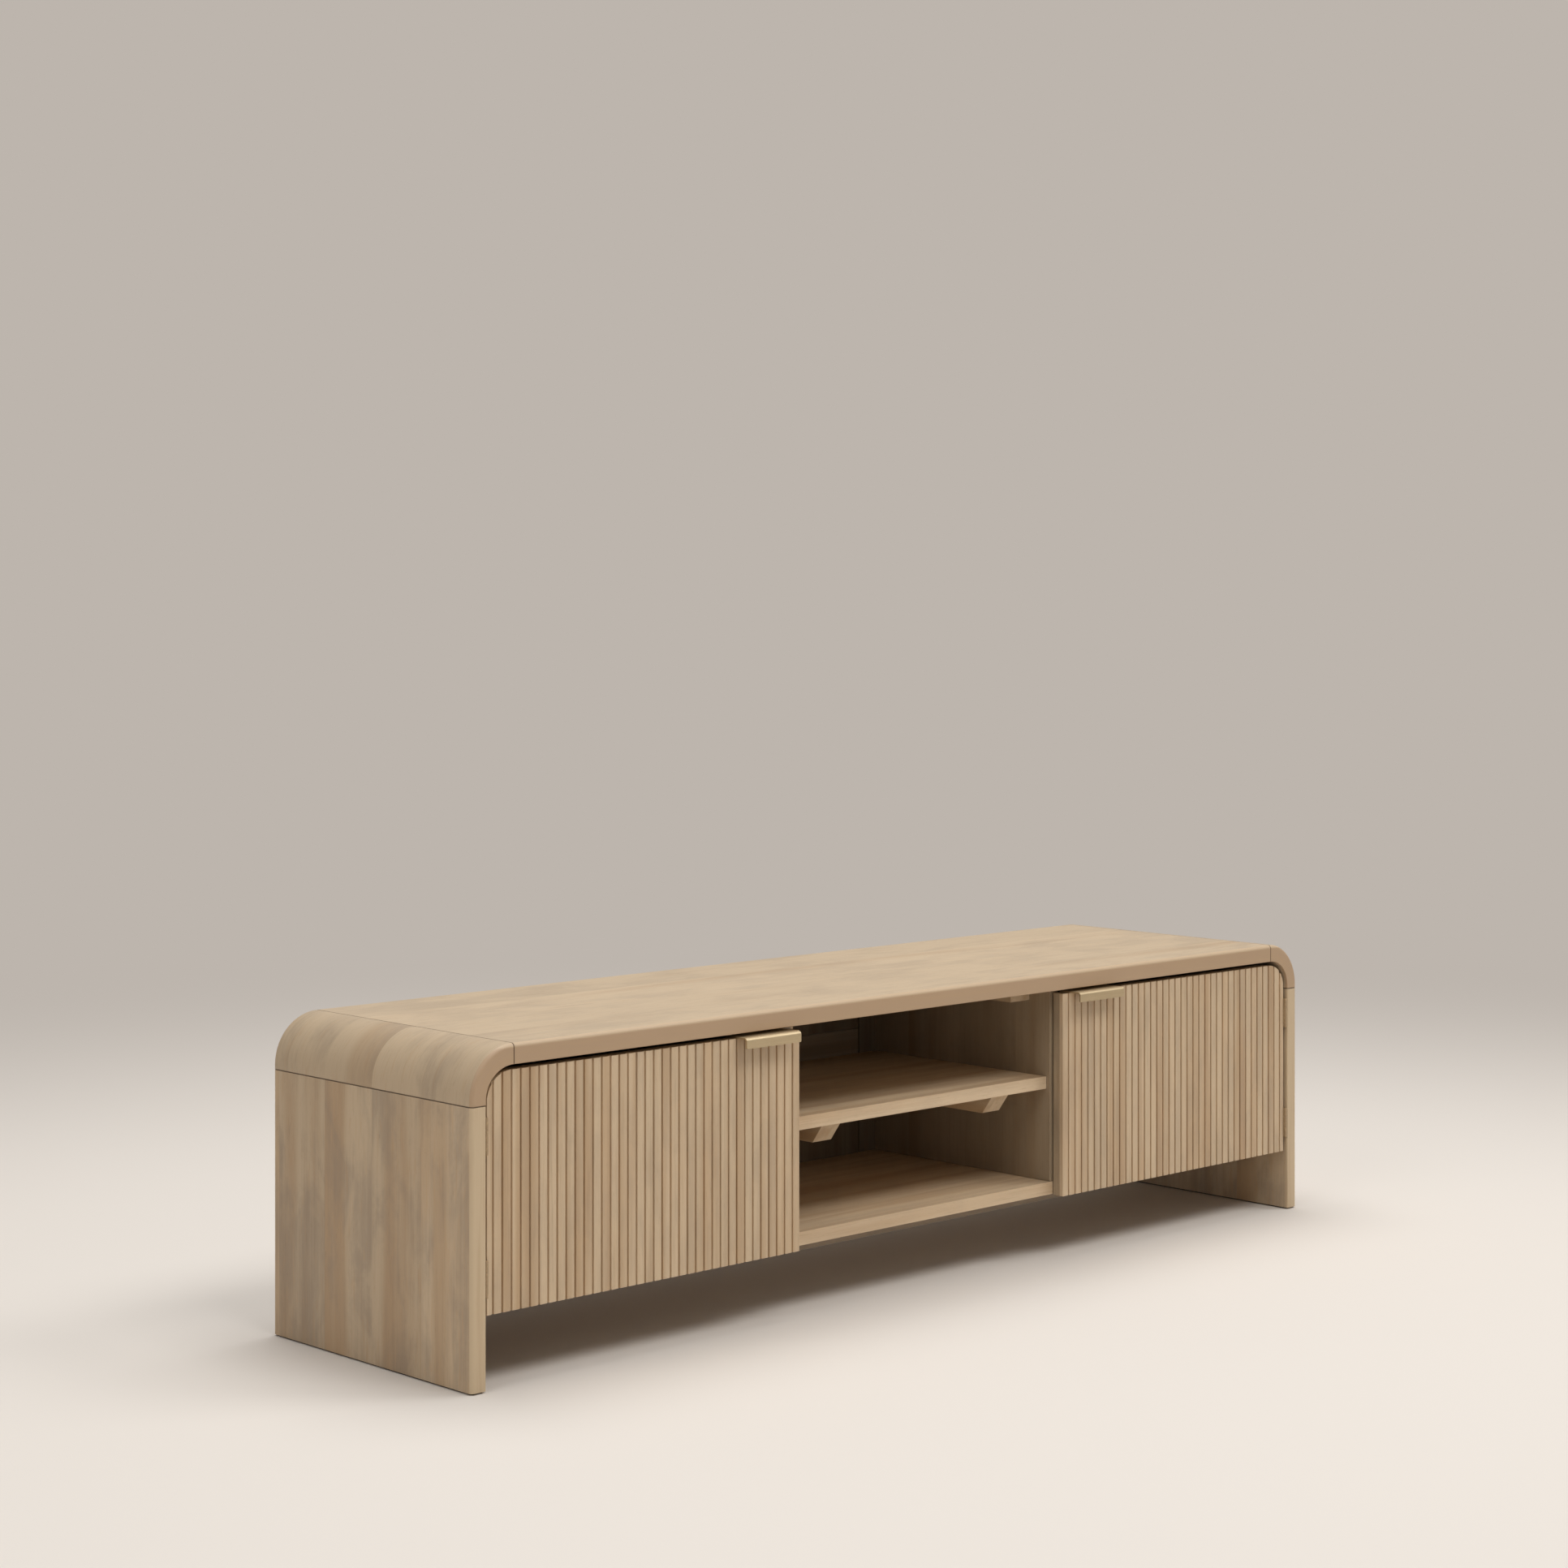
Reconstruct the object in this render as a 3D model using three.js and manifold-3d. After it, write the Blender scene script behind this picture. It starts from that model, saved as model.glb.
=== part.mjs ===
// Low media cabinet: a waterfall frame round two reeded doors and an open centre bay.
// Millimetres, +Z up, front towards -Y. The origin is on the floor, at the middle of the
// box that holds the whole cabinet with its doors shut.
// Right-hand pieces are shaped at positive X, and the left-hand ones are their mirror images.
import * as THREE from "three";
import { mergeVertices } from "three/addons/utils/BufferGeometryUtils.js";
import Module from "manifold-3d";

const wasm = await Module();
wasm.setup();

// Overall size
const WIDTH = 1800;
const DEPTH = 460;
const HEIGHT = 460;
const FIT = 0.3;
const SEAM = 0.7;

// Waterfall frame: top, corner blocks, sides and foot strips
const SIDE_BOARD = 25;
const TOP_BOARD = 28.5;
const CORNER_RADIUS = 72;
const BLOCK_FOOT = 7;
const OUTER_ROUND = 6;
const INNER_ROUND = 2;
const FOOT_STRIP = { height: 2, inset: 3.5 };

// Carcass between the sides
const BAY_HALF = 287;
const DIVIDER = { thickness: 19, setback: 28 };
const BOTTOM = { low: 102, high: 122, setback: 27 };
const SHELF = { low: 270, high: 290, setback: 35 };
const BATTEN = { inner: 168, outer: 207, height: 28.5, setback: 44, bevel: 21, rearGap: 5 };
const CLEAT = { width: 45, height: 22.5, setback: 71 };
const STRETCHER = { height: 20, thickness: 20, setback: 72 };
const BACK = { recess: 40, panel: 8, depth: 18, stile: 38, lip: 14, gap: 2.5, railLow: 249, railHigh: 331 };
const OUTLET_RADIUS = 30;
const SIDE_OUTLET_Z = 190;

// Doors
const DOOR = { inner: 292, edgeGap: 5, low: 101, topGap: 7.5, setback: 5, thickness: 20, round: 40 };
const FACING = 7;
const SLAT = { count: 37, pitch: 15.81, first: 0.9, groove: 3, depth: 3, round: 1 };

// Pulls: bent sheet over the top edge of each door
const PULL = { inner: 309.5, width: 108, sheet: 2.2, reach: 17, lip: 15.5, leg: 26, bend: 5, innerBend: 1 };
const SCREW = { shank: 1.5, play: 0.25, head: 3.5, headHeight: 2, length: 9, spacing: 60, drop: 15 };

// Butt hinges in the gap between each door and its side
const HINGE = { low: [125, 315], height: 50, barrel: 2.2, bore: 1.2, pin: 1.1, leaf: 1, reach: 21 };
const KNUCKLE = { height: 16, gap: 0.4 };

// Side shelves on pins, and magnetic catches
const SIDE_SHELF = { low: 262, thickness: 16, setback: 45, rearGap: 3, endGap: 2 };
const PIN = { radius: 2.5, play: 0.15, socket: 8, collar: 4, collarWidth: 1.5, shelf: 8, holePitch: 32 };
const CATCH = { low: 322, height: 36, width: 14.7, flange: 2, body: 25, length: 43, plate: 1 };

// Faces worked out from the sizes above
const FRONT = -(DEPTH + PULL.reach) / 2 + PULL.reach;
const REAR = FRONT + DEPTH;
const SIDE_INNER = WIDTH / 2 - SIDE_BOARD;
const UNDER_TOP = HEIGHT - TOP_BOARD;
const BACK_FACE = REAR - BACK.recess;
const CARCASS_REAR = BACK_FACE + BACK.depth;
const DIVIDER_OUTER = BAY_HALF + DIVIDER.thickness;
const BAY_FLOOR = BOTTOM.high + FIT;
const BAY_CEILING = UNDER_TOP - FIT;
const BAY_END = BAY_HALF - FIT;
const CARCASS_END = SIDE_INNER - FIT;
const DOOR_OUTER = SIDE_INNER - DOOR.edgeGap;
const DOOR_HIGH = UNDER_TOP - DOOR.topGap;
const DOOR_FRONT = FRONT + DOOR.setback;
const DOOR_BACK = DOOR_FRONT + DOOR.thickness;
const SCREW_Z = DOOR_HIGH - SCREW.drop;
const HINGE_X = SIDE_INNER - DOOR.edgeGap / 2;
const HINGE_Y = FRONT + 2;
const PIN_LINES = [FRONT + 75, BACK_FACE - 60];
const PIN_Z = SIDE_SHELF.low - FIT - PIN.radius;

const wood = { color: 0xc2ad8a, roughness: 0.55, metalness: 0 };
const endWood = { color: 0xb39a78, roughness: 0.6, metalness: 0 };
const innerWood = { color: 0xa38a68, roughness: 0.65, metalness: 0 };
const slatWood = { color: 0xc0a986, roughness: 0.55, metalness: 0 };
const foot = { color: 0x3a342e, roughness: 0.85, metalness: 0 };
const satinBrass = { color: 0xc2ae80, roughness: 0.38, metalness: 1 };
const paintedSteel = { color: 0xa58c6b, roughness: 0.45, metalness: 0 };
const brightSteel = { color: 0xb9bab8, roughness: 0.35, metalness: 1 };
const catchPlastic = { color: 0x5d5248, roughness: 0.6, metalness: 0 };

const cabinet = new THREE.Group();

// ---- Shapes and solids ----

// A rectangle with its own radius at each corner, starting at (x0, y0) and going round
// anticlockwise. A radius of 0 leaves the corner sharp.
function roundedRectangle(x0, y0, x1, y1, radii) {
  const shape = new THREE.Shape();
  const corners = [[x0, y0, 1, 1], [x1, y0, -1, 1], [x1, y1, -1, -1], [x0, y1, 1, -1]];
  corners.forEach(([x, y, inwardX, inwardY], index) => {
    const radius = radii[index];
    const start = Math.PI + (index * Math.PI) / 2;
    if (radius > 0) {
      shape.absarc(x + inwardX * radius, y + inwardY * radius, radius, start, start + Math.PI / 2);
    } else if (index === 0) {
      shape.moveTo(x, y);
    } else {
      shape.lineTo(x, y);
    }
  });
  shape.closePath();
  return shape;
}

function polygon(points) {
  return new THREE.Shape(points.map(([x, y]) => new THREE.Vector2(x, y)));
}

function extrude(shape, depth, arcSteps) {
  return new THREE.ExtrudeGeometry(shape, { depth, bevelEnabled: false, curveSegments: arcSteps });
}

// A shape drawn in X and Y, standing from z0 to z1.
function standUp(shape, z0, z1, arcSteps = 8) {
  return extrude(shape, z1 - z0, arcSteps).translate(0, 0, z0);
}

// A shape drawn in Y and Z, running from x0 to x1.
function runAcross(shape, x0, x1, arcSteps = 4) {
  const turn = new THREE.Matrix4().makeBasis(
    new THREE.Vector3(0, 1, 0),
    new THREE.Vector3(0, 0, 1),
    new THREE.Vector3(1, 0, 0),
  );
  return extrude(shape, x1 - x0, arcSteps).applyMatrix4(turn).translate(x0, 0, 0);
}

// A shape drawn in X and Z, running from y0 back to y1.
function runBack(shape, y0, y1, arcSteps = 6) {
  return extrude(shape, y1 - y0, arcSteps).rotateX(Math.PI / 2).translate(0, y1, 0);
}

function block(x0, x1, y0, y1, z0, z1) {
  const box = new THREE.BoxGeometry(x1 - x0, y1 - y0, z1 - z0);
  return box.translate((x0 + x1) / 2, (y0 + y1) / 2, (z0 + z1) / 2);
}

function rodAlong(axis, radius, start, end, centre, segments) {
  const rod = new THREE.CylinderGeometry(radius, radius, end - start, segments);
  rod.translate(0, (start + end) / 2, 0);
  if (axis === "x") {
    rod.rotateZ(-Math.PI / 2).translate(0, centre[0], centre[1]);
  } else if (axis === "y") {
    rod.translate(centre[0], 0, centre[1]);
  } else {
    rod.rotateX(Math.PI / 2).translate(centre[0], centre[1], 0);
  }
  return rod;
}

function positionsOnly(geometry) {
  const bare = geometry.clone();
  bare.deleteAttribute("normal");
  bare.deleteAttribute("uv");
  return mergeVertices(bare, 1e-4);
}

function solid(geometry) {
  const bare = positionsOnly(geometry);
  return new wasm.Manifold(new wasm.Mesh({
    numProp: 3,
    vertProperties: new Float32Array(bare.attributes.position.array),
    triVerts: new Uint32Array(bare.index.array),
  }));
}

function shell(manifold) {
  const mesh = manifold.getMesh();
  const geometry = new THREE.BufferGeometry();
  geometry.setAttribute("position", new THREE.BufferAttribute(mesh.vertProperties, 3));
  geometry.setIndex(new THREE.BufferAttribute(mesh.triVerts, 1));
  return geometry;
}

// The same piece on the other side of the cabinet, with its faces still pointing out.
function mirrored(geometry) {
  const copy = positionsOnly(geometry).scale(-1, 1, 1);
  const corners = copy.index.array;
  for (let i = 0; i < corners.length; i += 3) {
    [corners[i], corners[i + 1]] = [corners[i + 1], corners[i]];
  }
  return copy;
}

function add(name, geometry, finish) {
  const mesh = new THREE.Mesh(geometry, new THREE.MeshStandardMaterial(finish));
  mesh.name = name;
  cabinet.add(mesh);
}

function addPair(name, geometry, finish) {
  add(`right_${name}`, geometry, finish);
  add(`left_${name}`, mirrored(geometry), finish);
}

// ---- Waterfall frame ----

function topPanel() {
  const radii = [INNER_ROUND, INNER_ROUND, OUTER_ROUND, OUTER_ROUND];
  const half = WIDTH / 2 - CORNER_RADIUS - SEAM / 2;
  return runAcross(roundedRectangle(FRONT, UNDER_TOP, REAR, HEIGHT, radii), -half, half);
}

function uprightSection() {
  const radii = [INNER_ROUND, OUTER_ROUND, OUTER_ROUND, INNER_ROUND];
  return roundedRectangle(SIDE_INNER, FRONT, WIDTH / 2, REAR, radii);
}

// Raises or lowers the inner face of the quarter turn, so that a section as thick as the side
// at its foot is as thick as the top at its upper end.
function taperInside(ring, inner) {
  const rise = (inner - (TOP_BOARD - SIDE_BOARD)) / inner;
  const position = ring.attributes.position;
  for (let i = 0; i < position.count; i += 1) {
    if (Math.hypot(position.getX(i), position.getZ(i)) < inner + INNER_ROUND + FIT) {
      position.setZ(i, position.getZ(i) * rise);
    }
  }
  return ring;
}

// A quarter ring over a short straight foot, so that the grain turns from top to side.
function cornerBlock() {
  const radii = [INNER_ROUND, OUTER_ROUND, OUTER_ROUND, INNER_ROUND];
  const inner = CORNER_RADIUS - SIDE_BOARD;
  const outline = roundedRectangle(inner, FRONT, CORNER_RADIUS, REAR, radii).getPoints(4);
  const ring = new THREE.LatheGeometry([...outline, outline[0].clone()], 48);
  const centreX = WIDTH / 2 - CORNER_RADIUS;
  const centreZ = HEIGHT - CORNER_RADIUS;
  taperInside(ring, inner).translate(centreX, 0, centreZ);
  const quarter = block(centreX + SEAM / 2, WIDTH, FRONT - 1, REAR + 1, centreZ, HEIGHT + 1);
  const straight = standUp(uprightSection(), centreZ - BLOCK_FOOT + SEAM / 2, centreZ);
  return shell(solid(ring).intersect(solid(quarter)).add(solid(straight)));
}

function pinHoles(faceX, towards) {
  const depth = PIN.socket + FIT;
  const start = Math.min(faceX - towards, faceX + towards * depth);
  const end = Math.max(faceX - towards, faceX + towards * depth);
  return PIN_LINES.flatMap((y) => [-1, 0, 1].map((step) => (
    solid(rodAlong("x", PIN.radius + PIN.play, start, end, [y, PIN_Z + step * PIN.holePitch], 12))
  )));
}

function cutAll(body, cutters) {
  return cutters.reduce((rest, cutter) => rest.subtract(cutter), body);
}

function sidePanel() {
  const top = HEIGHT - CORNER_RADIUS - BLOCK_FOOT - SEAM / 2;
  const board = solid(standUp(uprightSection(), FOOT_STRIP.height + FIT, top));
  return shell(cutAll(board, pinHoles(SIDE_INNER, 1)));
}

function footStrip() {
  const inset = FOOT_STRIP.inset;
  const outline = roundedRectangle(
    SIDE_INNER + inset,
    FRONT + inset,
    WIDTH / 2 - inset,
    REAR - inset,
    [INNER_ROUND, INNER_ROUND, INNER_ROUND, INNER_ROUND],
  );
  return standUp(outline, 0, FOOT_STRIP.height, 3);
}

add("top_panel", topPanel(), wood);
addPair("corner_block", cornerBlock(), endWood);
addPair("side_panel", sidePanel(), endWood);
addPair("foot_strip", footStrip(), foot);

// ---- Carcass ----

function divider() {
  const front = FRONT + DIVIDER.setback;
  const board = solid(block(BAY_HALF, DIVIDER_OUTER, front, CARCASS_REAR, BAY_FLOOR, BAY_CEILING));
  return shell(cutAll(board, pinHoles(DIVIDER_OUTER, -1)));
}

function stretcher(y) {
  const top = BOTTOM.low - FIT;
  return block(-CARCASS_END, CARCASS_END, y, y + STRETCHER.thickness, top - STRETCHER.height, top);
}

// A board on edge under the shelf, with a sloping front end.
function shelfBatten() {
  const top = SHELF.low - FIT;
  const front = FRONT + BATTEN.setback;
  const outline = polygon([
    [front, top],
    [front + BATTEN.bevel, top - BATTEN.height],
    [BACK_FACE - BATTEN.rearGap, top - BATTEN.height],
    [BACK_FACE - BATTEN.rearGap, top],
  ]);
  return runAcross(outline, BATTEN.inner, BATTEN.outer);
}

function topCleat() {
  const outer = BAY_HALF - FIT;
  const front = FRONT + CLEAT.setback;
  return block(outer - CLEAT.width, outer, front, BACK_FACE - FIT, BAY_CEILING - CLEAT.height, BAY_CEILING);
}

add(
  "bottom_panel",
  block(-CARCASS_END, CARCASS_END, FRONT + BOTTOM.setback, CARCASS_REAR, BOTTOM.low, BOTTOM.high),
  innerWood,
);
addPair("divider", divider(), innerWood);
add(
  "centre_shelf",
  block(-BAY_END, BAY_END, FRONT + SHELF.setback, BACK_FACE - FIT, SHELF.low, SHELF.high),
  innerWood,
);
addPair("shelf_batten", shelfBatten(), innerWood);
addPair("top_cleat", topCleat(), innerWood);
add("front_stretcher", stretcher(FRONT + STRETCHER.setback), innerWood);
add("rear_stretcher", stretcher(REAR - STRETCHER.setback - STRETCHER.thickness), innerWood);

// ---- Backs ----

function panelWithOutlet(x0, x1, z0, z1, outletX, outletZ, round = 0) {
  const outline = roundedRectangle(x0, z0, x1, z1, [0, 0, round, 0]);
  outline.holes.push(new THREE.Path().absarc(outletX, outletZ, OUTLET_RADIUS, 0, 2 * Math.PI, true));
  return runBack(outline, BACK_FACE, BACK_FACE + BACK.panel, 24);
}

// The stile's rear lip stands behind the centre back panels and carries them.
function backStile() {
  const outer = BAY_HALF - FIT;
  const edge = BAY_HALF - BACK.stile;
  const lipFront = BACK_FACE + BACK.panel + FIT;
  const outline = polygon([
    [edge, BACK_FACE],
    [outer, BACK_FACE],
    [outer, CARCASS_REAR],
    [edge - BACK.lip, CARCASS_REAR],
    [edge - BACK.lip, lipFront],
    [edge, lipFront],
  ]);
  return standUp(outline, BAY_FLOOR, BAY_CEILING);
}

function centreBacks() {
  const half = BAY_HALF - BACK.stile - BACK.gap;
  const lowTop = BACK.railLow - SEAM;
  const highBottom = BACK.railHigh + SEAM;
  const lowMiddle = (BAY_FLOOR + lowTop) / 2;
  const highMiddle = (highBottom + BAY_CEILING) / 2;
  add("lower_back_panel", panelWithOutlet(-half, half, BAY_FLOOR, lowTop, 0, lowMiddle), innerWood);
  add("upper_back_panel", panelWithOutlet(-half, half, highBottom, BAY_CEILING, 0, highMiddle), innerWood);
  const rail = block(-half, half, BACK_FACE, BACK_FACE + BACK.panel, BACK.railLow, BACK.railHigh);
  add("back_rail", rail, innerWood);
}

// The side backs are rounded at the top outer corner, to fit inside the corner blocks.
function sideBack() {
  const outletX = (DIVIDER_OUTER + SIDE_INNER) / 2;
  const round = CORNER_RADIUS - SIDE_BOARD - FIT;
  const inner = DIVIDER_OUTER + FIT;
  return panelWithOutlet(inner, CARCASS_END, BAY_FLOOR, BAY_CEILING, outletX, SIDE_OUTLET_Z, round);
}

addPair("back_panel", sideBack(), innerWood);
addPair("back_stile", backStile(), innerWood);
centreBacks();

// ---- Side shelves, pins and catches ----

// A round pin with a collar; its socket end points away from `towards`.
function shelfPin(faceX, towards, y) {
  const tip = PIN.socket + PIN.collarWidth + PIN.shelf;
  const profile = [
    [0, 0],
    [PIN.radius, 0],
    [PIN.radius, PIN.socket + FIT],
    [PIN.collar, PIN.socket + FIT],
    [PIN.collar, PIN.socket + FIT + PIN.collarWidth],
    [PIN.radius, PIN.socket + FIT + PIN.collarWidth],
    [PIN.radius, tip],
    [PIN.radius - 0.5, tip + 0.5],
    [0, tip + 0.5],
  ].map(([radius, along]) => new THREE.Vector2(radius, along));
  const pin = new THREE.LatheGeometry(profile, 12);
  pin.rotateZ(towards > 0 ? -Math.PI / 2 : Math.PI / 2);
  return pin.translate(faceX - towards * PIN.socket, y, PIN_Z);
}

function sideShelf() {
  const inner = DIVIDER_OUTER + SIDE_SHELF.endGap;
  const outer = SIDE_INNER - SIDE_SHELF.endGap;
  const high = SIDE_SHELF.low + SIDE_SHELF.thickness;
  const front = FRONT + SIDE_SHELF.setback;
  return block(inner, outer, front, BACK_FACE - SIDE_SHELF.rearGap, SIDE_SHELF.low, high);
}

// The catch is screwed to the divider by its flange; its nose meets the strike plate.
function magneticCatch() {
  const base = DIVIDER_OUTER + FIT;
  const nose = DOOR_BACK + FIT + CATCH.plate + 0.5;
  const outline = polygon([
    [base, nose],
    [base + CATCH.width, nose],
    [base + CATCH.width, nose + CATCH.body],
    [base + CATCH.flange, nose + CATCH.body],
    [base + CATCH.flange, nose + CATCH.length],
    [base, nose + CATCH.length],
  ]);
  return standUp(outline, CATCH.low, CATCH.low + CATCH.height);
}

function strikePlate() {
  const inner = DIVIDER_OUTER + FIT;
  const outline = roundedRectangle(
    inner,
    CATCH.low + 2,
    inner + CATCH.width,
    CATCH.low + CATCH.height - 2,
    [2, 2, 2, 2],
  );
  const front = DOOR_BACK + FIT;
  return runBack(outline, front, front + CATCH.plate, 3);
}

addPair("side_shelf", sideShelf(), innerWood);
PIN_LINES.forEach((y, index) => {
  const place = index === 0 ? "front" : "rear";
  addPair(`${place}_divider_pin`, shelfPin(DIVIDER_OUTER, 1, y), brightSteel);
  addPair(`${place}_side_pin`, shelfPin(SIDE_INNER, -1, y), brightSteel);
});
addPair("magnetic_catch", magneticCatch(), catchPlastic);
addPair("strike_plate", strikePlate(), brightSteel);

// ---- Doors ----

// Square inner corners and one large round at the top outer corner, which follows the frame.
function doorOutline() {
  return roundedRectangle(DOOR.inner, DOOR.low, DOOR_OUTER, DOOR_HIGH, [0, 0, DOOR.round, 0]);
}

// Seen from above: a flat back, and a front cut by narrow grooves with eased edges.
function reededSection() {
  const back = DOOR_FRONT + FACING;
  const half = SLAT.groove / 2;
  const shape = new THREE.Shape();
  shape.moveTo(DOOR_OUTER, back);
  shape.lineTo(DOOR.inner, back);
  shape.lineTo(DOOR.inner, DOOR_FRONT + SLAT.round);
  shape.quadraticCurveTo(DOOR.inner, DOOR_FRONT, DOOR.inner + SLAT.round, DOOR_FRONT);
  for (let groove = 0; groove < SLAT.count - 1; groove += 1) {
    const centre = DOOR.inner + (SLAT.first + groove) * SLAT.pitch;
    const left = centre - half;
    const right = centre + half;
    shape.lineTo(left - SLAT.round, DOOR_FRONT);
    shape.quadraticCurveTo(left, DOOR_FRONT, left, DOOR_FRONT + SLAT.round);
    shape.lineTo(left, DOOR_FRONT + SLAT.depth);
    shape.lineTo(right, DOOR_FRONT + SLAT.depth);
    shape.lineTo(right, DOOR_FRONT + SLAT.round);
    shape.quadraticCurveTo(right, DOOR_FRONT, right + SLAT.round, DOOR_FRONT);
  }
  shape.lineTo(DOOR_OUTER - SLAT.round, DOOR_FRONT);
  shape.quadraticCurveTo(DOOR_OUTER, DOOR_FRONT, DOOR_OUTER, DOOR_FRONT + SLAT.round);
  shape.closePath();
  return shape;
}

function slatFacing() {
  const reeds = solid(standUp(reededSection(), DOOR.low - 1, DOOR_HIGH + 1, 2));
  const outline = solid(runBack(doorOutline(), DOOR_FRONT - 1, DOOR_BACK, 12));
  const upright = solid(block(0, WIDTH, FRONT, REAR, DOOR.low, DOOR_HIGH));
  return shell(reeds.intersect(outline).intersect(upright));
}

function screwPlaces() {
  const middle = PULL.inner + PULL.width / 2;
  return [middle - SCREW.spacing / 2, middle + SCREW.spacing / 2];
}


function doorBoard() {
  const front = DOOR_FRONT + FACING + FIT;
  const board = solid(runBack(doorOutline(), front, DOOR_BACK, 12));
  const pilots = screwPlaces().map((x) => (
    solid(rodAlong("y", SCREW.shank + SCREW.play, DOOR_BACK - SCREW.length, DOOR_BACK + 1, [x, SCREW_Z], 12))
  ));
  return shell(cutAll(board, pilots));
}

// Seen from the side, one strip of sheet: up the back of the door, over its top edge,
// forward as a tab, and down as a lip to pull on.
function pullSection() {
  const legFront = DOOR_BACK + FIT;
  const legBack = legFront + PULL.sheet;
  const under = DOOR_HIGH + FIT;
  const over = under + PULL.sheet;
  const lipFront = FRONT - PULL.reach;
  const lipBack = lipFront + PULL.sheet;
  const rearBend = PULL.innerBend + PULL.sheet;
  const shape = new THREE.Shape();
  shape.moveTo(legBack, over - PULL.leg);
  shape.lineTo(legBack, over - rearBend);
  shape.absarc(legBack - rearBend, over - rearBend, rearBend, 0, Math.PI / 2);
  shape.lineTo(lipFront + PULL.bend, over);
  shape.absarc(lipFront + PULL.bend, over - PULL.bend, PULL.bend, Math.PI / 2, Math.PI);
  shape.lineTo(lipFront, over - PULL.lip);
  shape.lineTo(lipBack, over - PULL.lip);
  shape.lineTo(lipBack, over - PULL.bend);
  shape.absarc(lipFront + PULL.bend, over - PULL.bend, PULL.bend - PULL.sheet, Math.PI, Math.PI / 2, true);
  shape.lineTo(legFront, under);
  shape.lineTo(legFront, over - PULL.leg);
  shape.closePath();
  return shape;
}

function pull() {
  const sheet = solid(runAcross(pullSection(), PULL.inner, PULL.inner + PULL.width, 6));
  const holes = screwPlaces().map((x) => (
    solid(rodAlong("y", SCREW.shank + SCREW.play, DOOR_BACK, DOOR_BACK + PULL.sheet + 1, [x, SCREW_Z], 12))
  ));
  return shell(cutAll(sheet, holes));
}

function pullScrew(x) {
  const headBase = DOOR_BACK + PULL.sheet + 2 * FIT;
  const tip = headBase - DOOR_BACK + SCREW.length - 1;
  const profile = [
    [0, -tip],
    [SCREW.shank - 0.6, -tip],
    [SCREW.shank, -tip + 1.5],
    [SCREW.shank, 0],
    [SCREW.head, 0],
    [SCREW.head, SCREW.headHeight * 0.4],
    [SCREW.head * 0.7, SCREW.headHeight],
    [0, SCREW.headHeight],
  ].map(([radius, along]) => new THREE.Vector2(radius, along));
  return new THREE.LatheGeometry(profile, 12).translate(x, headBase, SCREW_Z);
}

addPair("slat_facing", slatFacing(), slatWood);
addPair("door_board", doorBoard(), slatWood);
addPair("pull", pull(), satinBrass);
screwPlaces().forEach((x, index) => {
  addPair(`${index === 0 ? "inner" : "outer"}_pull_screw`, pullScrew(x), brightSteel);
});

// ---- Hinges ----

function barrel(radius, low, high) {
  return solid(rodAlong("z", radius, low, high, [HINGE_X, HINGE_Y], 24));
}

// Knuckles as spans of height: the side's leaf has the two outer ones, the door's the middle.
function knuckleSpans(low) {
  const high = low + HINGE.height;
  return {
    outer: [[low, low + KNUCKLE.height], [high - KNUCKLE.height, high]],
    middle: [[low + KNUCKLE.height + KNUCKLE.gap, high - KNUCKLE.height - KNUCKLE.gap]],
  };
}

function hingeLeaf(low, x0, own, other) {
  const high = low + HINGE.height;
  const flap = solid(block(x0, x0 + HINGE.leaf, HINGE_Y, HINGE_Y + HINGE.reach, low, high));
  const clearance = KNUCKLE.gap;
  const cleared = other.reduce((rest, [from, to]) => (
    rest.subtract(barrel(HINGE.barrel + 0.3, from - clearance, to + clearance))
  ), flap);
  const joined = own.reduce((rest, [from, to]) => rest.add(barrel(HINGE.barrel, from, to)), cleared);
  return shell(joined.subtract(barrel(HINGE.bore, low - 1, high + 1)));
}

HINGE.low.forEach((low, index) => {
  const place = index === 0 ? "lower" : "upper";
  const spans = knuckleSpans(low);
  const doorLeafX = HINGE_X - HINGE.barrel;
  const sideLeafX = HINGE_X + HINGE.barrel - HINGE.leaf;
  addPair(`${place}_door_leaf`, hingeLeaf(low, doorLeafX, spans.middle, spans.outer), paintedSteel);
  addPair(`${place}_side_leaf`, hingeLeaf(low, sideLeafX, spans.outer, spans.middle), paintedSteel);
  const pin = rodAlong("z", HINGE.pin, low, low + HINGE.height, [HINGE_X, HINGE_Y], 24);
  addPair(`${place}_hinge_pin`, pin, paintedSteel);
});

export default cabinet;
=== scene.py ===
"""Finishes a low wooden media cabinet around its frame: oak veneer, reeded doors, bent pulls, studio."""

import math

import bmesh
import bpy
from mathutils import Matrix, Vector


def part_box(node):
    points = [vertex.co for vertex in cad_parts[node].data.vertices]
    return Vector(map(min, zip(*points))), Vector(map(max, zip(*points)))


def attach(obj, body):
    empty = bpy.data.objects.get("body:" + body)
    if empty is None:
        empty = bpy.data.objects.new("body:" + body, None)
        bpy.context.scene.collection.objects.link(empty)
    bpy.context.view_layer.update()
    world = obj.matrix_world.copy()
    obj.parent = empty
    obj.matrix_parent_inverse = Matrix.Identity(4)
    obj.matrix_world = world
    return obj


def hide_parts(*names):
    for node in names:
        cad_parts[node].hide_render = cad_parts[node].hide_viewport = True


bl_info = {
    "name": "Media Cabinet Finisher",
    "version": (1, 0, 0),
    "blender": (4, 5, 0),
    "location": "3D View > Sidebar > Cabinet",
    "description": "Shapes and finishes the pieces of a low media cabinet around its CAD frame",
    "category": "Object",
}

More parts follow.
